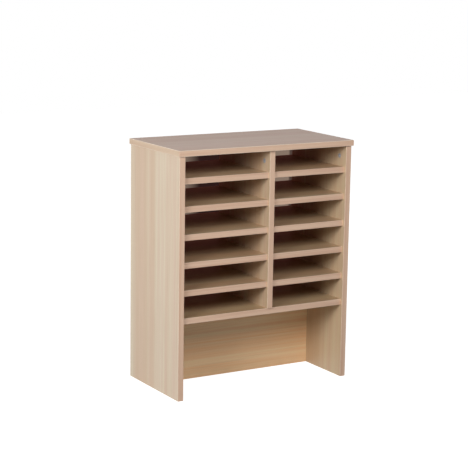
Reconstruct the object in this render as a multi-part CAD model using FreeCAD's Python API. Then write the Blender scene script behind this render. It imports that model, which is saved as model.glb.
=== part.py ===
"""A free-standing letter sorter: two columns of pigeonholes over an open bay.

Melamine-faced board with plastic edging, held by cam joints and connector screws.
Millimetres. X to the right, Y to the rear, Z up, the floor at Z = 0.
"""
import FreeCAD
import Part
import os

# Clear spaces
rows = 6
pigeonhole_height = 65.5
left_bay = 291.0
right_bay = 255.0
bay_height = 231.0          # floor to the underside of the base shelf
side_depth = 312.0          # front edge to rear edge, edging included

# Boards
board = 18.0
top_overhang = 5.0          # past the sides to the left, right and front
divider_recess = 4.0        # behind the front of the sides
shelf_recess = 10.0
base_recess = 8.0
rear_recess = 2.0           # shelves and base shelf, ahead of the rear of the sides
lower_panel_inset = 115.0   # front face of the lower panel to the rear of the sides

# Edging strips
thin_edging = 1.0
thin_bevel = 0.5
top_edging = 2.0
top_round = 1.5

# Cam joints
fitting_inset = 37.0        # from the front and rear of the sides
cam_to_end = 34.0           # cam centre to the end of its board
cam_pocket_diameter = 15.0
pocket_floor = 4.5          # board left behind a cam pocket
cam_gap = 0.5               # between a cam and the floor of its pocket
bolt_bore_diameter = 8.0
bolt_head_diameter = 7.4
bolt_head_length = 3.5
bolt_diameter = 6.0
blind_floor = 6.0           # board left behind a bolt's blind bore

# Connector screws that hold the divider on the base shelf
screw_length = 50.0
screw_diameter = 7.0
screw_head_diameter = 10.0
screw_head_length = 1.5

# Fits
fit = 0.1                   # round a cam, bolt or screw in its bore
end_gap = 0.5               # past the end of a bolt or screw
overcut = 1.0               # how far a cutter starts outside the board

# Places worked out from the sizes
width = 3 * board + left_bay + right_bay + 2 * top_overhang
depth = side_depth + top_overhang
left_outer = -width / 2 + top_overhang
left_inner = left_outer + board
divider_left = left_inner + left_bay
divider_right = divider_left + board
right_inner = divider_right + right_bay
right_outer = right_inner + board

rear = depth / 2
side_front = rear - side_depth
top_front = side_front - top_overhang
shelf_rear = rear - rear_recess
lower_panel_front = rear - lower_panel_inset
lower_panel_rear = lower_panel_front + board
fitting_lines = (side_front + fitting_inset, rear - fitting_inset)

pitch = pigeonhole_height + board
base_top = bay_height + board
sides_top = base_top + rows * pitch - board
height = sides_top + board

X = FreeCAD.Vector(1, 0, 0)
Y = FreeCAD.Vector(0, 1, 0)
Z = FreeCAD.Vector(0, 0, 1)


def point(x, y, z):
    return FreeCAD.Vector(x, y, z)


def slab(x0, x1, y0, y1, z0, z1):
    """A straight block between two corners."""
    return Part.makeBox(x1 - x0, y1 - y0, z1 - z0, point(x0, y0, z0))


def rod(diameter, start, along, length):
    """A cylinder that starts at a point and runs along a direction."""
    return Part.makeCylinder(diameter / 2, length, start, along)


def turned(profile):
    """A solid turned round the X axis from (x, radius) points that start and end on it."""
    points = [point(x, radius, 0) for x, radius in profile]
    outline = Part.makePolygon(points + points[:1])
    return Part.Face(outline).revolve(point(0, 0, 0), X, 360)


def placed(shape, origin, x_axis, z_axis):
    """The shape moved so that its own X and Z lie along the two axes given."""
    turn = FreeCAD.Rotation(x_axis, z_axis.cross(x_axis), z_axis, "ZXY")
    copy = shape.copy()
    copy.Placement = FreeCAD.Placement(origin, turn) * shape.Placement
    return copy


def save(node, solids):
    """Write one sub-part, which may be several separate solids."""
    shape = solids[0] if len(solids) == 1 else Part.makeCompound(solids)
    shape.exportStep(os.path.join("parts", node + ".step"))


def thin_strip(x0, x1, y0, y1, z0, z1, outer_y):
    """Edging on a board's front or rear edge, its two long outer corners bevelled."""
    strip = slab(x0, x1, y0, y1, z0, z1)
    run = max(x1 - x0, z1 - z0)
    corners = []
    for edge in strip.Edges:
        on_outer_face = all(abs(v.Point.y - outer_y) < 1e-6 for v in edge.Vertexes)
        if on_outer_face and abs(edge.Length - run) < 1e-6:
            corners.append(edge)
    return strip.makeChamfer(min(thin_bevel, 0.8 * thin_edging), corners)


def edged_board(x0, x1, y0, y1, z0, z1):
    """A board and its front and rear edging, between the outer faces of the edging."""
    core = slab(x0, x1, y0 + thin_edging, y1 - thin_edging, z0, z1)
    front_strip = thin_strip(x0, x1, y0, y0 + thin_edging, z0, z1, y0)
    rear_strip = thin_strip(x0, x1, y1 - thin_edging, y1, z0, z1, y1)
    return core, [front_strip, rear_strip]


class CamJoint:
    """A cam in one board draws in the head of a bolt that is screwed into the next.

    It is laid out with the cam's centre at the origin on the face of its board, X
    towards the end of that board and Z out of the face, and then moved into place.
    """

    pocket_depth = board - pocket_floor
    bolt_depth = board - blind_floor

    def __init__(self, centre, to_end, out_of_face):
        self.place = (centre, to_end, out_of_face)
        self.cam = placed(self.make_cam(), *self.place)
        self.bolt = placed(self.make_bolt(), *self.place)

    def cam_board_cut(self):
        """The cam's pocket, and the bolt's bore from it to the end of the board."""
        pocket = rod(cam_pocket_diameter, Z * -self.pocket_depth, Z, self.pocket_depth + overcut)
        bore = rod(bolt_bore_diameter, Z * (-board / 2), X, cam_to_end + overcut)
        return placed(pocket.fuse(bore), *self.place)

    def bolt_board_cut(self):
        """The blind bore that the bolt is screwed into."""
        start = X * (cam_to_end - overcut) - Z * (board / 2)
        bore = rod(bolt_diameter + 2 * fit, start, X, overcut + self.bolt_depth)
        return placed(bore, *self.place)

    def make_cam(self):
        """A disc with a slot in its underside and edge that takes the bolt's head."""
        thick = self.pocket_depth - cam_gap
        disc = rod(cam_pocket_diameter - 2 * fit, Z * -thick, Z, thick)
        half_slot = bolt_head_diameter / 2 + fit
        slot = slab(
            -half_slot, cam_pocket_diameter, -half_slot, half_slot,
            -thick - overcut, -board / 2 + half_slot)
        return disc.cut(slot)

    def make_bolt(self):
        """A headed steel bolt that runs from the middle of the cam into the next board."""
        head = bolt_head_diameter / 2
        shank = bolt_diameter / 2
        tip = cam_to_end + self.bolt_depth - end_gap
        bolt = turned([
            (-head, 0),
            (-head, head),
            (bolt_head_length - head, head),
            (bolt_head_length - head, shank),
            (tip, shank),
            (tip, 0),
        ])
        return bolt.translated(Z * (-board / 2))


def screw_profile(extra, longer):
    """Half outline of a connector screw with a sunk head, or of its bore."""
    head = screw_head_diameter / 2 + extra
    shank = screw_diameter / 2 + extra
    return [
        (0, 0),
        (0, head),
        (screw_head_length, shank),
        (screw_length + longer, shank),
        (screw_length + longer, 0),
    ]


def divider_screw(y, extra=0, longer=0):
    """A screw, or its bore, up through the base shelf into the middle of the divider."""
    foot = point(divider_left + board / 2, y, bay_height)
    return placed(turned(screw_profile(extra, longer)), foot, Z, X)


def shelf_levels():
    """Underside of each shelf, from the top one down."""
    return [base_top + row * pitch - board for row in range(rows - 1, 0, -1)]


def top_joints(face_x, out_of_face):
    """The cam joints that hold one upright board to the top panel."""
    cam_z = sides_top - cam_to_end
    return [CamJoint(point(face_x, y, cam_z), Z, out_of_face) for y in fitting_lines]


def base_joints(side_face_x, to_side):
    """The cam joints in the underside of the base shelf that hold it to one side."""
    cam_x = side_face_x - to_side.x * cam_to_end
    return [CamJoint(point(cam_x, y, bay_height), to_side, -Z) for y in fitting_lines]


def panel_joint(side_face_x, to_side):
    """The cam joint in the rear of the lower panel that holds it to one side."""
    cam_x = side_face_x - to_side.x * cam_to_end
    return CamJoint(point(cam_x, lower_panel_rear, bay_height / 2), to_side, Y)


def cam_cuts(joints):
    return [joint.cam_board_cut() for joint in joints]


def bolt_cuts(joints):
    return [joint.bolt_board_cut() for joint in joints]


def make_top(joints):
    """The top panel, framed on all four sides by an edging with rounded long corners."""
    outer = slab(-width / 2, width / 2, top_front, rear, sides_top, height)
    core = slab(
        -width / 2 + top_edging, width / 2 - top_edging,
        top_front + top_edging, rear - top_edging, sides_top, height)
    level_edges = [e for e in outer.Edges if abs(e.Vertexes[0].Z - e.Vertexes[1].Z) < 1e-6]
    rounded = outer.makeFillet(min(top_round, 0.8 * top_edging), level_edges)
    save("top_panel", [core.cut(bolt_cuts(joints))])
    save("top_edging", [rounded.cut(core)])


def make_side(name, x0, cam_joints, bolt_joints):
    """One side, from the floor to the top panel."""
    core, strips = edged_board(x0, x0 + board, side_front, rear, 0, sides_top)
    save(name, [core.cut(cam_cuts(cam_joints) + bolt_cuts(bolt_joints))])
    save(name + "_edging", strips)


def make_divider(joints, screw_bores):
    """The upright board between the two columns."""
    core, strips = edged_board(
        divider_left, divider_right, side_front + divider_recess, rear, base_top, sides_top)
    save("divider", [core.cut(cam_cuts(joints) + screw_bores)])
    save("divider_edging", strips)


def make_base_shelf(joints, screw_bores):
    """The full-width shelf under both columns."""
    core, strips = edged_board(
        left_inner, right_inner, side_front + base_recess, shelf_rear, bay_height, base_top)
    save("base_shelf", [core.cut(cam_cuts(joints) + screw_bores)])
    save("base_shelf_edging", strips)


def make_lower_panel(joints):
    """The cross panel that braces the sides below the base shelf."""
    core = slab(left_inner, right_inner, lower_panel_front, lower_panel_rear, 0, bay_height)
    save("lower_panel", [core.cut(cam_cuts(joints))])


def make_shelves(name, x0, x1):
    """The shelves of one column, counted from the top."""
    for number, level in enumerate(shelf_levels(), 1):
        core, strips = edged_board(
            x0, x1, side_front + shelf_recess, shelf_rear, level, level + board)
        save(f"{name}_{number}", [core])
        save(f"{name}_{number}_edging", strips)


def make_all():
    """Lay out each joint once, then cut every board to it and write all the sub-parts."""
    left_top = top_joints(left_inner, X)
    divider_top = top_joints(divider_left, -X)
    right_top = top_joints(right_inner, -X)
    left_base = base_joints(left_inner, -X)
    right_base = base_joints(right_inner, X)
    left_panel = panel_joint(left_inner, -X)
    right_panel = panel_joint(right_inner, X)
    screw_bores = [divider_screw(y, fit, end_gap) for y in fitting_lines]

    make_top(left_top + divider_top + right_top)
    make_side("left_side", left_outer, left_top, left_base + [left_panel])
    make_side("right_side", right_inner, right_top, right_base + [right_panel])
    make_divider(divider_top, screw_bores)
    make_base_shelf(left_base + right_base, screw_bores)
    make_lower_panel([left_panel, right_panel])
    make_shelves("shelf_left", left_inner, divider_left)
    make_shelves("shelf_right", divider_right, right_inner)

    save("left_side_cams", [joint.cam for joint in left_top])
    save("divider_cams", [joint.cam for joint in divider_top])
    save("right_side_cams", [joint.cam for joint in right_top])
    save("base_shelf_cams", [joint.cam for joint in left_base + right_base])
    save("lower_panel_cams", [left_panel.cam, right_panel.cam])
    save("top_cam_bolts", [joint.bolt for joint in left_top + divider_top + right_top])
    save("base_shelf_cam_bolts", [joint.bolt for joint in left_base + right_base])
    save("lower_panel_cam_bolts", [left_panel.bolt, right_panel.bolt])
    save("divider_screws", [divider_screw(y) for y in fitting_lines])


os.makedirs("parts", exist_ok=True)
make_all()
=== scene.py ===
import math

import bmesh
import bpy
from mathutils import Matrix, Vector


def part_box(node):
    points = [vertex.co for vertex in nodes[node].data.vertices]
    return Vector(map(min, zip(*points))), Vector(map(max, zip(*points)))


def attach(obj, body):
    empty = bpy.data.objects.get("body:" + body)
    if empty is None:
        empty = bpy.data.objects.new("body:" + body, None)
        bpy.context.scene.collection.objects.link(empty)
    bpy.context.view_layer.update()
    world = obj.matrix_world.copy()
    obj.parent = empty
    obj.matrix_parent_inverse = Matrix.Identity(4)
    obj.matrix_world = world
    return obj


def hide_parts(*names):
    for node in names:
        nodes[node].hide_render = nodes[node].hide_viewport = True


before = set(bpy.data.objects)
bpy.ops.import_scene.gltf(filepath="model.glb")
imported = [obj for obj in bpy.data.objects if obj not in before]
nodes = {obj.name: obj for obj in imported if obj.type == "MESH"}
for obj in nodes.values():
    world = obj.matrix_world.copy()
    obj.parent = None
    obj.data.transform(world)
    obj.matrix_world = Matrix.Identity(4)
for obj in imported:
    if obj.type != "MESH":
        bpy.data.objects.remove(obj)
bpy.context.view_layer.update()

# ---------------------------------------------------------------------------
# Left side. An upright 18 mm board of chipboard, faced on both sides with beech-effect
# melamine whose printed grain runs upright. It stands on the floor and carries the top
# panel, and cam locks in its inner face hold it to the top panel.
# ---------------------------------------------------------------------------

beech_pale = (0.660, 0.570, 0.430)
beech_tan = (0.590, 0.440, 0.305)
beech_pink = (0.620, 0.450, 0.340)
beech_vein = (0.430, 0.270, 0.160)
plain_tone = (1.0, 1.0, 1.0)
beech_roughness = (0.40, 0.50)

# Waves of the print to a metre, across the grain and along it.
plank_waves = (17, 0.25)
band_waves = (64, 0.7)
vein_waves = (190, 1.6)
streak_waves = (420, 5.0)
fleck_waves = (1300, 170)

chip_pale = (0.46, 0.33, 0.20)
chip_dark = (0.16, 0.095, 0.05)
chip_roughness = 0.9
chip_waves = 420
dust_waves = 900

left_side_shift = 6.9

# A face in a board's skin looks along an axis and is this near to the board's box.
along_axis = 0.99
skin = 0.00001


def empty_tree(owner):
    """The node tree of a material or of the world, with nothing in it."""
    owner.use_nodes = True
    owner.node_tree.nodes.clear()
    return owner.node_tree


def new_finish(name):
    """A material that has only its surface shader, its coordinates and its output."""
    finish = bpy.data.materials.new(name)
    tree = empty_tree(finish)
    shader = tree.nodes.new("ShaderNodeBsdfPrincipled")
    output = tree.nodes.new("ShaderNodeOutputMaterial")
    place = tree.nodes.new("ShaderNodeTexCoord")
    tree.links.new(shader.outputs["BSDF"], output.inputs["Surface"])
    return finish, tree, shader, place.outputs["Object"]


def along_grain(grain, waves):
    """Waves to a metre on X, Y and Z, for a print that runs along one of them."""
    across, along = waves
    return tuple(along if axis == grain else across for axis in "XYZ")


def stretched_noise(tree, place, stretch, shift, detail, roughness=0.55):
    """Noise with its own number of waves to a metre on each axis."""
    mapping = tree.nodes.new("ShaderNodeMapping")
    mapping.inputs["Scale"].default_value = stretch
    mapping.inputs["Location"].default_value = shift
    noise = tree.nodes.new("ShaderNodeTexNoise")
    noise.inputs["Scale"].default_value = 1.0
    noise.inputs["Detail"].default_value = detail
    noise.inputs["Roughness"].default_value = roughness
    tree.links.new(place, mapping.inputs["Vector"])
    tree.links.new(mapping.outputs["Vector"], noise.inputs["Vector"])
    return noise.outputs["Fac"]


def even_noise(tree, place, waves, detail):
    """Noise that is the same in every direction."""
    return stretched_noise(tree, place, (waves, waves, waves), (0, 0, 0), detail)


def remap(tree, value, low, high, to_low=0.0, to_high=1.0):
    """A clamped linear change of range."""
    node = tree.nodes.new("ShaderNodeMapRange")
    node.inputs["From Min"].default_value = low
    node.inputs["From Max"].default_value = high
    node.inputs["To Min"].default_value = to_low
    node.inputs["To Max"].default_value = to_high
    tree.links.new(value, node.inputs["Value"])
    return node.outputs["Result"]


def blended(tree, factor, first, second, way="MIX"):
    """Two colours mixed; the factor and each colour may be a value or a node's output."""
    mix = tree.nodes.new("ShaderNodeMix")
    mix.data_type = "RGBA"
    mix.blend_type = way
    colours = [socket for socket in mix.inputs if socket.type == "RGBA"]
    for socket, value in zip((mix.inputs["Factor"], *colours), (factor, first, second)):
        if isinstance(value, float):
            socket.default_value = value
        elif isinstance(value, tuple):
            socket.default_value = (*value, 1.0)
        else:
            tree.links.new(value, socket)
    return next(socket for socket in mix.outputs if socket.type == "RGBA")


def add_bump(tree, shader, height, strength, distance):
    """Fine relief on a surface, where the shape itself stays smooth."""
    bump = tree.nodes.new("ShaderNodeBump")
    bump.inputs["Strength"].default_value = strength
    bump.inputs["Distance"].default_value = distance
    tree.links.new(height, bump.inputs["Height"])
    tree.links.new(bump.outputs["Normal"], shader.inputs["Normal"])


def beech_board(name, grain, shift, tone=plain_tone, streak=beech_pink):
    """Printed beech, all of it along the grain; shift picks the piece of the sheet."""
    finish, tree, shader, place = new_finish(name)

    def layer(waves, spot, detail, roughness=0.55):
        return stretched_noise(tree, place, along_grain(grain, waves), spot, detail, roughness)

    planks = layer(plank_waves, (shift, shift * 2, shift), 2.0)
    bands = layer(band_waves, (shift * 2, shift, shift), 4.0, 0.65)
    veins = layer(vein_waves, (shift * 3, shift, shift), 5.0)
    streaks = layer(streak_waves, (shift, shift, shift * 5), 4.0)
    flecks = layer(fleck_waves, (0.0, shift, 0.0), 1.0)
    colour = blended(tree, remap(tree, planks, 0.40, 0.60), beech_pale, beech_tan)
    colour = blended(tree, remap(tree, bands, 0.42, 0.66, 0.0, 0.80), colour, streak)
    colour = blended(tree, remap(tree, veins, 0.50, 0.72, 0.0, 0.55), colour, beech_tan)
    colour = blended(tree, remap(tree, streaks, 0.52, 0.80, 0.0, 0.45), colour, beech_vein)
    colour = blended(tree, remap(tree, flecks, 0.66, 0.80, 0.0, 0.35), colour, beech_vein)
    colour = blended(tree, 1.0, colour, tone, "MULTIPLY")
    tree.links.new(colour, shader.inputs["Base Color"])
    sheen = remap(tree, streaks, 0.3, 0.7, *beech_roughness)
    tree.links.new(sheen, shader.inputs["Roughness"])
    add_bump(tree, shader, streaks, 0.08, 0.0003)
    return finish


def chipboard(name):
    """Bare pressed wood chips, where a board's end or a bore isn't covered."""
    finish, tree, shader, place = new_finish(name)
    chips = tree.nodes.new("ShaderNodeTexVoronoi")
    chips.inputs["Scale"].default_value = chip_waves
    tree.links.new(place, chips.inputs["Vector"])
    dust = even_noise(tree, place, dust_waves, 3.0)
    colour = blended(tree, remap(tree, chips.outputs["Distance"], 0.1, 0.7), chip_pale, beech_tan)
    colour = blended(tree, remap(tree, dust, 0.55, 0.75, 0.0, 0.8), colour, chip_dark)
    tree.links.new(colour, shader.inputs["Base Color"])
    shader.inputs["Roughness"].default_value = chip_roughness
    add_bump(tree, shader, dust, 0.5, 0.0006)
    return finish


bare_board = chipboard("bare chipboard")


def face_board(node, finish, faced):
    """Melamine on the faces along the given axes, bare chipboard on every other face."""
    board = nodes[node].data
    board.materials.clear()
    board.materials.append(finish)
    board.materials.append(bare_board)
    low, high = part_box(node)
    for polygon in board.polygons:
        on_face = False
        for axis in faced:
            middle = polygon.center[axis]
            at_skin = min(abs(middle - low[axis]), abs(middle - high[axis])) < skin
            on_face = on_face or (abs(polygon.normal[axis]) > along_axis and at_skin)
        polygon.material_index = 0 if on_face else 1


face_board("left_side", beech_board("beech left side", "Z", left_side_shift), (0, 1))

# Its edging: a 1 mm plastic strip with the same print, glued on the front and rear
# edges. Its rounded corners carry a pale painted highlight.

edging_pale = (0.695, 0.485, 0.350)
edging_pink = (0.615, 0.392, 0.272)
edging_vein = (0.430, 0.270, 0.180)
# Painted highlight: the pale colour of the edging's rounded corners.
edging_highlight_pale = (0.800, 0.690, 0.560)
edging_roughness = (0.36, 0.46)
trimmed_roughness = (0.30, 0.42)
edging_band_waves = (120, 1.5)
edging_line_waves = (700, 4.0)
scrape_waves = 260
square_cut = 0.995


def beech_edging(name, grain, shift, pale=edging_pale, pink=edging_pink):
    """Plastic edging with fine printed lines that run along the strip."""
    finish, tree, shader, place = new_finish(name)
    bands = stretched_noise(
        tree, place, along_grain(grain, edging_band_waves), (shift, 0.0, shift), 2.0)
    lines = stretched_noise(
        tree, place, along_grain(grain, edging_line_waves), (shift, shift, shift), 4.0)
    colour = blended(tree, remap(tree, bands, 0.35, 0.65), pale, pink)
    colour = blended(tree, remap(tree, lines, 0.52, 0.78, 0.0, 0.5), colour, edging_vein)
    tree.links.new(colour, shader.inputs["Base Color"])
    sheen = remap(tree, lines, 0.3, 0.7, *edging_roughness)
    tree.links.new(sheen, shader.inputs["Roughness"])
    return finish


def highlight_edging(name):
    """A painted highlight for the rounded corners: pale plastic colour, faintly scraped."""
    finish, tree, shader, place = new_finish(name)
    scrapes = even_noise(tree, place, scrape_waves, 3.0)
    scraped = remap(tree, scrapes, 0.35, 0.75, 0.0, 0.6)
    colour = blended(tree, scraped, edging_highlight_pale, edging_pale)
    tree.links.new(colour, shader.inputs["Base Color"])
    sheen = remap(tree, scrapes, 0.3, 0.7, *trimmed_roughness)
    tree.links.new(sheen, shader.inputs["Roughness"])
    return finish


edging_upright = beech_edging("beech edging upright", "Z", 1.7)
edging_level = beech_edging("beech edging level", "X", 4.3)
edging_corner_highlight = highlight_edging("edging corner highlight")


def wrap(node, finish):
    """Printed edging on the flat faces, a pale painted highlight on the rounded corners."""
    strip = nodes[node].data
    strip.materials.clear()
    strip.materials.append(finish)
    strip.materials.append(edging_corner_highlight)
    for polygon in strip.polygons:
        square = max(abs(part) for part in polygon.normal) > square_cut
        polygon.material_index = 0 if square else 1


wrap("left_side_edging", edging_upright)

# ---------------------------------------------------------------------------
# Right side. The same board and edging as the left side, cut from another part of the
# sheet, and held to the top panel by cam locks in its inner face.
# ---------------------------------------------------------------------------

right_side_tone = (1.0, 0.94, 0.82)
right_side_shift = 8.6

right_side_print = beech_board("beech right side", "Z", right_side_shift, right_side_tone)
face_board("right_side", right_side_print, (0, 1))
wrap("right_side_edging", edging_upright)

# ---------------------------------------------------------------------------
# Lower panel. A board across the back of the open bay that keeps the sides square. Its
# grain runs from side to side, its lower edge is bare, and cam locks in its rear face
# hold it to the sides.
# ---------------------------------------------------------------------------

# Painted light: the lower panel's print is made brighter and warmer than the other boards', for
# the light falling on it.
lower_panel_painted_light = (1.38, 1.20, 0.96)
lower_panel_streak = (0.610, 0.405, 0.255)
lower_panel_shift = 5.2

lower_panel_print = beech_board(
    "beech lower panel", "X", lower_panel_shift, lower_panel_painted_light, lower_panel_streak)
face_board("lower_panel", lower_panel_print, (1,))

# ---------------------------------------------------------------------------
# Base shelf. A full-width board under both columns of pigeonholes, with edging on its
# front and rear. Cam locks in its underside hold it between the sides.
# ---------------------------------------------------------------------------

# Painted shade: the base shelf's print is darker and browner than the sides', for the shade it
# lies in.
base_shelf_painted_shade = (0.76, 0.68, 0.54)
base_shelf_shift = 7.9

base_shelf_print = beech_board("beech base shelf", "X", base_shelf_shift, base_shelf_painted_shade)
face_board("base_shelf", base_shelf_print, (2,))
wrap("base_shelf_edging", edging_level)

# ---------------------------------------------------------------------------
# Divider. An upright board with upright grain that stands on the base shelf, where two
# screws hold it, and is held to the top panel by cam locks in its left face.
# ---------------------------------------------------------------------------

divider_tone = (0.98, 0.93, 0.84)
divider_shift = 12.4

face_board("divider", beech_board("beech divider", "Z", divider_shift, divider_tone), (0,))
wrap("divider_edging", edging_upright)

# ---------------------------------------------------------------------------
# Shelves. Five boards to a column, fixed between a side and the divider, with edging on
# their front and rear. They are alike but for the piece of sheet they came from.
# ---------------------------------------------------------------------------

# Painted shade: the shelves' print is darker and browner than the sides', for the shade inside
# the pigeonholes.
shelf_painted_shade = (0.74, 0.65, 0.53)
shelf_shift = 2.3
column_shifts = {"left": 0.0, "right": 13.7}
column_shelves = 5

for column, column_shift in column_shifts.items():
    for number in range(1, column_shelves + 1):
        shelf = f"shelf_{column}_{number}"
        shift = number * shelf_shift + column_shift
        face_board(shelf, beech_board(f"beech {shelf}", "X", shift, shelf_painted_shade), (2,))
        wrap(shelf + "_edging", edging_level)

# ---------------------------------------------------------------------------
# Cams. Discs of die-cast zinc, each pressed into a pocket that is bored in a board's
# face. A screwdriver turns them by the cross recess, and they draw their bolts in.
# ---------------------------------------------------------------------------

zinc_pale = (0.56, 0.57, 0.60)
zinc_dark = (0.34, 0.35, 0.38)
zinc_roughness = (0.42, 0.54)
metal_share = 0.3
mottle_waves = 500
cam_radius = 0.0074
cam_depth = 0.013
cam_round = 0.0005
recess_plate = 0.0048
recess_arm = 0.0036
recess_half = 0.0012
recess_depth = 0.0030
recess_taper = 0.75


def cast_metal(name, pale, dark, roughness):
    """Dull metal, mottled by handling."""
    finish, tree, shader, place = new_finish(name)
    mottle = even_noise(tree, place, mottle_waves, 4.0)
    colour = blended(tree, remap(tree, mottle, 0.35, 0.7), pale, dark)
    tree.links.new(colour, shader.inputs["Base Color"])
    shader.inputs["Metallic"].default_value = metal_share
    sheen = remap(tree, mottle, 0.3, 0.7, *roughness)
    tree.links.new(sheen, shader.inputs["Roughness"])
    return finish


def cast_cam():
    """A disc with a rounded rim and a cross recess in its face, which looks along +Z."""
    mesh = bmesh.new()
    bmesh.ops.create_grid(mesh, x_segments=5, y_segments=5, size=2.5)
    lines = (-recess_plate, -recess_arm, -recess_half, recess_half, recess_arm, recess_plate)
    for vert in mesh.verts:
        vert.co.x = lines[round(vert.co.x + 2.5)]
        vert.co.y = lines[round(vert.co.y + 2.5)]

    # The five squares of the cross are sunk, and narrow towards the bottom.
    cross = []
    for face in mesh.faces:
        middle = face.calc_center_median()
        near, far = sorted((abs(middle.x), abs(middle.y)))
        if near < recess_half and far < recess_arm:
            cross.append(face)
    made = bmesh.ops.extrude_face_region(mesh, geom=cross)["geom"]
    bmesh.ops.delete(mesh, geom=cross, context="FACES")
    bottom = [item for item in made if isinstance(item, bmesh.types.BMVert)]
    bmesh.ops.scale(mesh, verts=bottom, vec=(recess_taper, recess_taper, 1))
    bmesh.ops.translate(mesh, verts=bottom, vec=(0, 0, -recess_depth))

    # The square's border grows out to the round face, over its rim and down the side.
    border = [edge for edge in mesh.edges if edge.is_boundary]
    bmesh.ops.subdivide_edges(mesh, edges=border, cuts=2)
    lip = [edge for edge in mesh.edges if edge.is_boundary]
    for radius, height in ((cam_radius - cam_round, 0.0), (cam_radius, -cam_round),
                           (cam_radius, -cam_depth)):
        made = bmesh.ops.extrude_edge_only(mesh, edges=lip)["geom"]
        lip = [item for item in made if isinstance(item, bmesh.types.BMEdge)]
        for vert in made:
            if isinstance(vert, bmesh.types.BMVert):
                vert.co = vert.co.xy.normalized().to_3d() * radius
                vert.co.z = height
    bmesh.ops.edgeloop_fill(mesh, edges=lip)
    bmesh.ops.recalc_face_normals(mesh, faces=mesh.faces)
    data = bpy.data.meshes.new("cam")
    mesh.to_mesh(data)
    mesh.free()
    return data


def put_in_scene(mesh, name):
    """A finished mesh as an object at the origin."""
    data = bpy.data.meshes.new(name)
    mesh.to_mesh(data)
    mesh.free()
    piece = bpy.data.objects.new(name, data)
    bpy.context.scene.collection.objects.link(piece)
    return piece


cam = cast_cam()
zinc = cast_metal("cast zinc", zinc_pale, zinc_dark, zinc_roughness)


def add_cams(node, facing):
    """All the cams of one sub-part, at the places where the CAD model has them."""
    low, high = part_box(node)
    spots = []
    for part in range(3):
        if facing[part]:
            spots.append([high[part] if facing[part] > 0 else low[part]])
        elif high[part] - low[part] > 4 * cam_radius:
            spots.append([low[part] + cam_radius, high[part] - cam_radius])
        else:
            spots.append([(low[part] + high[part]) / 2])
    turn = Vector(facing).to_track_quat("Z", "Y").to_matrix().to_4x4()
    mesh = bmesh.new()
    for x in spots[0]:
        for y in spots[1]:
            for z in spots[2]:
                count = len(mesh.verts)
                mesh.from_mesh(cam)
                mesh.verts.ensure_lookup_table()
                bmesh.ops.transform(
                    mesh, matrix=Matrix.Translation((x, y, z)) @ turn, verts=mesh.verts[count:])
    piece = put_in_scene(mesh, node + "_cast")
    piece.data.materials.append(zinc)
    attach(piece, "root")
    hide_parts(node)


add_cams("left_side_cams", (1, 0, 0))
add_cams("divider_cams", (-1, 0, 0))
add_cams("right_side_cams", (-1, 0, 0))
add_cams("base_shelf_cams", (0, 0, -1))
add_cams("lower_panel_cams", (0, 1, 0))

# ---------------------------------------------------------------------------
# Bolts and screws. Zinc-plated steel. The bolts are screwed into one board, and the
# cams in the next board take their heads. The divider's screws come up from below.
# ---------------------------------------------------------------------------

steel_pale = (0.62, 0.62, 0.63)
steel_dark = (0.5, 0.5, 0.5)
steel_roughness = (0.28, 0.40)

steel = cast_metal("plated steel", steel_pale, steel_dark, steel_roughness)
for name in ("top_cam_bolts", "base_shelf_cam_bolts", "lower_panel_cam_bolts", "divider_screws"):
    nodes[name].data.materials.clear()
    nodes[name].data.materials.append(steel)

# ---------------------------------------------------------------------------
# Top panel. It lies over the sides and the divider and stands a little proud of them,
# framed by a 2 mm edging with rounded long corners. The bolts of the cam locks are
# screwed into its underside.
# ---------------------------------------------------------------------------

# Painted shade and painted sheen: the top's print is darker and greyer than the sides', for how
# light falls on it and the pale room mirrored in it.
top_panel_painted_shade_and_sheen = (0.78, 0.655, 0.67)
top_panel_shift = 10.3

top_panel_print = beech_board("beech top panel", "X", top_panel_shift, top_panel_painted_shade_and_sheen)
face_board("top_panel", top_panel_print, (2,))
wrap("top_edging", edging_level)

# Its two ends have a yellower piece of edging, whose print runs along the end.

end_pale = (0.640, 0.490, 0.345)
end_pink = (0.580, 0.415, 0.285)

edging_end = beech_edging("beech edging end", "Y", 3.1, end_pale, end_pink)
top_strip = nodes["top_edging"].data
top_strip.materials.append(edging_end)
for polygon in top_strip.polygons:
    if abs(polygon.normal.x) > square_cut:
        polygon.material_index = 2

# ---------------------------------------------------------------------------
# Floor. A plain white studio floor that keeps the sorter's soft shadow. It is a little
# darker close to the sorter than far away, where it runs into the white background.
# ---------------------------------------------------------------------------

floor_side = 14.0
floor_grey = (0.45, 0.45, 0.45, 1)
glow_reach = (0.6, 2.4)
glow_strength = (0.88, 1.0)


def seen_ray(tree):
    """1 for a ray that shows the studio: straight to the camera, mirrored, or through glass."""
    path = tree.nodes.new("ShaderNodeLightPath")
    seen = path.outputs["Is Camera Ray"]
    for way in ("Is Glossy Ray", "Is Transmission Ray"):
        either = tree.nodes.new("ShaderNodeMath")
        either.operation = "MAXIMUM"
        tree.links.new(seen, either.inputs[0])
        tree.links.new(path.outputs[way], either.inputs[1])
        seen = either.outputs[0]
    return seen


def one_or_other(tree, factor, first, second, output_type):
    """The tree's output: the first shader where the factor is 0, the second where it is 1."""
    choose = tree.nodes.new("ShaderNodeMixShader")
    output = tree.nodes.new(output_type)
    tree.links.new(factor, choose.inputs[0])
    tree.links.new(first, choose.inputs[1])
    tree.links.new(second, choose.inputs[2])
    tree.links.new(choose.outputs[0], output.inputs["Surface"])


floor_mesh = bmesh.new()
bmesh.ops.create_grid(floor_mesh, x_segments=1, y_segments=1, size=floor_side / 2)
floor = put_in_scene(floor_mesh, "floor")

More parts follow.
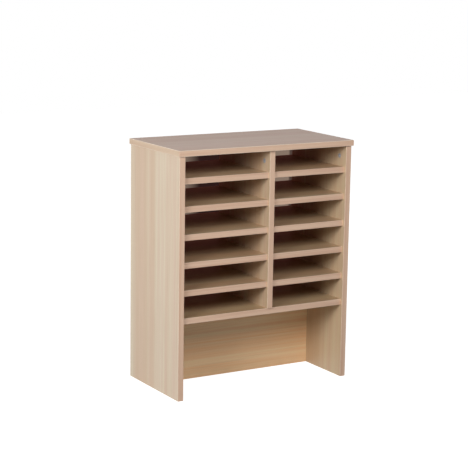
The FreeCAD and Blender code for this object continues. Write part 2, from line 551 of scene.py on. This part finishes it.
floor_paint = bpy.data.materials.new("floor paint")
tree = empty_tree(floor_paint)
diffuse = tree.nodes.new("ShaderNodeBsdfDiffuse")
diffuse.inputs["Color"].default_value = floor_grey
place = tree.nodes.new("ShaderNodeTexCoord")
away = tree.nodes.new("ShaderNodeVectorMath")
away.operation = "LENGTH"
tree.links.new(place.outputs["Object"], away.inputs[0])
glow = tree.nodes.new("ShaderNodeEmission")
glow_level = remap(tree, away.outputs["Value"], *glow_reach, *glow_strength)
tree.links.new(glow_level, glow.inputs["Strength"])
lit = tree.nodes.new("ShaderNodeAddShader")
tree.links.new(diffuse.outputs[0], lit.inputs[0])
tree.links.new(glow.outputs[0], lit.inputs[1])
one_or_other(tree, seen_ray(tree), diffuse.outputs[0], lit.outputs[0], "ShaderNodeOutputMaterial")
floor.data.materials.append(floor_paint)

# ---------------------------------------------------------------------------
# Back card. The pigeonholes are open at the back, and this card stands there for
# the shaded room behind them: a dark sheet of painted shade with patches of painted light.
# It glows with a little dim warm light forwards, though it is no lamp, and only its
# front shows, so the sorter can be seen from the rear.
# ---------------------------------------------------------------------------

card_depth = 0.006
card_inset = 0.008
card_painted_shade = (0.026, 0.011, 0.010)
card_painted_light = (0.24, 0.175, 0.135)
card_painted_glow = (0.10, 0.034, 0.032)

# Where the painted light on the card fades along X, and how strong it is there.
left_fade = (-0.112, -0.063)
left_painted_light = 0.8
right_fade = (0.10, 0.20)
side_fade = (0.269, 0.274)
side_painted_light = 0.25

left_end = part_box("left_side")[1][0] - card_inset
right_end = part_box("right_side")[0][0] + card_inset
bottom_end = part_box("base_shelf")[1][2] - card_inset
top_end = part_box("top_panel")[0][2] + card_inset
card_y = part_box("divider_edging")[1][1] - card_depth
card_size = (right_end - left_end, top_end - bottom_end, 1)
card_middle = ((left_end + right_end) / 2, card_y, (bottom_end + top_end) / 2)
quarter_turn = Matrix.Rotation(math.radians(90), 3, "X")

card_mesh = bmesh.new()
bmesh.ops.create_grid(card_mesh, x_segments=1, y_segments=1, size=0.5)
bmesh.ops.scale(card_mesh, verts=card_mesh.verts, vec=card_size)
bmesh.ops.rotate(card_mesh, verts=card_mesh.verts, cent=(0, 0, 0), matrix=quarter_turn)
bmesh.ops.translate(card_mesh, verts=card_mesh.verts, vec=card_middle)
card = put_in_scene(card_mesh, "back_card")

# The card has painted light behind the left part of the left column, where it fades away,
# and behind the right part of the right column, as far as a little short of the side.
# Everywhere else it is painted shade.

card_painted_light_material = bpy.data.materials.new("back card painted shade and light")
tree = empty_tree(card_painted_light_material)
place = tree.nodes.new("ShaderNodeTexCoord")
split = tree.nodes.new("ShaderNodeSeparateXYZ")
tree.links.new(place.outputs["Object"], split.inputs[0])
across = split.outputs["X"]
painted_light_left = remap(tree, across, *left_fade, left_painted_light, 0.0)
painted_light_right = remap(tree, across, *right_fade)
short_of_side = remap(tree, across, *side_fade, 1.0, side_painted_light)
lit = tree.nodes.new("ShaderNodeMath")
lit.operation = "MULTIPLY_ADD"
tree.links.new(painted_light_right, lit.inputs[0])
tree.links.new(short_of_side, lit.inputs[1])
tree.links.new(painted_light_left, lit.inputs[2])
card_painted_shading = blended(tree, lit.outputs[0], card_painted_shade, card_painted_light)
# Camera rays see the painted shade and light; every other ray gets the card's painted glow.
path = tree.nodes.new("ShaderNodeLightPath")
sent = blended(tree, path.outputs["Is Camera Ray"], card_painted_glow, card_painted_shading)
glow = tree.nodes.new("ShaderNodeEmission")
tree.links.new(sent, glow.inputs["Color"])
clear = tree.nodes.new("ShaderNodeBsdfTransparent")
facing = tree.nodes.new("ShaderNodeNewGeometry")
one_or_other(tree, facing.outputs["Backfacing"], glow.outputs[0], clear.outputs[0],
             "ShaderNodeOutputMaterial")
card.data.materials.append(card_painted_light_material)

# ---------------------------------------------------------------------------
# Light. Four big soft lamps, all low: the main one from the left front, one from the
# front, and weaker ones from the left and right rear. The room round them looks white,
# and lights the sorter only faintly.
# ---------------------------------------------------------------------------

lamp_target = Vector((0, 0, 0.42))
room_strength = 0.05
white_strength = 1.0


def soft_lamp(name, turn, rise, distance, power, width=1.2, height=1.2):
    """A square or oblong lamp; turn 0 is the front, and a turn below 0 is the left."""
    turn, rise = math.radians(turn), math.radians(rise)
    toward = Vector((math.sin(turn) * math.cos(rise), -math.cos(turn) * math.cos(rise),
                     math.sin(rise)))
    data = bpy.data.lights.new(name, "AREA")
    data.shape = "RECTANGLE"
    data.size = width
    data.size_y = height
    data.energy = power
    place = Matrix.Translation(lamp_target + toward * distance)
    lamp = bpy.data.objects.new(name, data)
    lamp.matrix_world = place @ toward.to_track_quat("Z", "Y").to_matrix().to_4x4()
    bpy.context.scene.collection.objects.link(lamp)


soft_lamp("side lamp", turn=-64.5, rise=20, distance=3.67, power=73)
soft_lamp("front lamp", turn=-10, rise=33, distance=3.2, power=46, width=1.0)
soft_lamp("left lamp", turn=-112, rise=12, distance=3.6, power=29)
soft_lamp("right lamp", turn=106, rise=12, distance=3.6, power=20)

world = bpy.data.worlds.new("studio")
bpy.context.scene.world = world
tree = empty_tree(world)
room = tree.nodes.new("ShaderNodeBackground")
room.inputs["Color"].default_value = (1, 1, 1, 1)
room.inputs["Strength"].default_value = room_strength
white = tree.nodes.new("ShaderNodeBackground")
white.inputs["Color"].default_value = (1, 1, 1, 1)
white.inputs["Strength"].default_value = white_strength
one_or_other(tree, seen_ray(tree), room.outputs[0], white.outputs[0], "ShaderNodeOutputWorld")

# ---------------------------------------------------------------------------
# Camera. It stands to the left of the sorter and above it, looks slightly down, and is
# tilted by less than a degree. Its focal length is counted in pixels of a square picture.
# ---------------------------------------------------------------------------

camera_turn = math.radians(-30.8)
camera_rise = math.radians(10.9)
camera_roll = math.radians(0.9)
camera_place = Vector((-2.3921, -3.9728, 1.3472))
picture_pixels = 468
focal_pixels = 1527.2
sensor_width = 36.0
farthest = 50.0

back = Vector((
    math.sin(camera_turn) * math.cos(camera_rise),
    -math.cos(camera_turn) * math.cos(camera_rise),
    math.sin(camera_rise)))
level = Vector((0, 0, 1)).cross(back).normalized()
upright = back.cross(level)
right = level * math.cos(camera_roll) + upright * math.sin(camera_roll)
up = upright * math.cos(camera_roll) - level * math.sin(camera_roll)
camera_turned = Matrix((right, up, back)).transposed().to_4x4()

camera_data = bpy.data.cameras.new("camera")
camera_data.sensor_width = sensor_width
camera_data.lens = focal_pixels / picture_pixels * sensor_width
camera_data.clip_end = farthest
camera = bpy.data.objects.new("camera", camera_data)
camera.matrix_world = Matrix.Translation(camera_place) @ camera_turned
bpy.context.scene.collection.objects.link(camera)
bpy.context.scene.camera = camera

bpy.context.scene.view_settings.view_transform = "Standard"
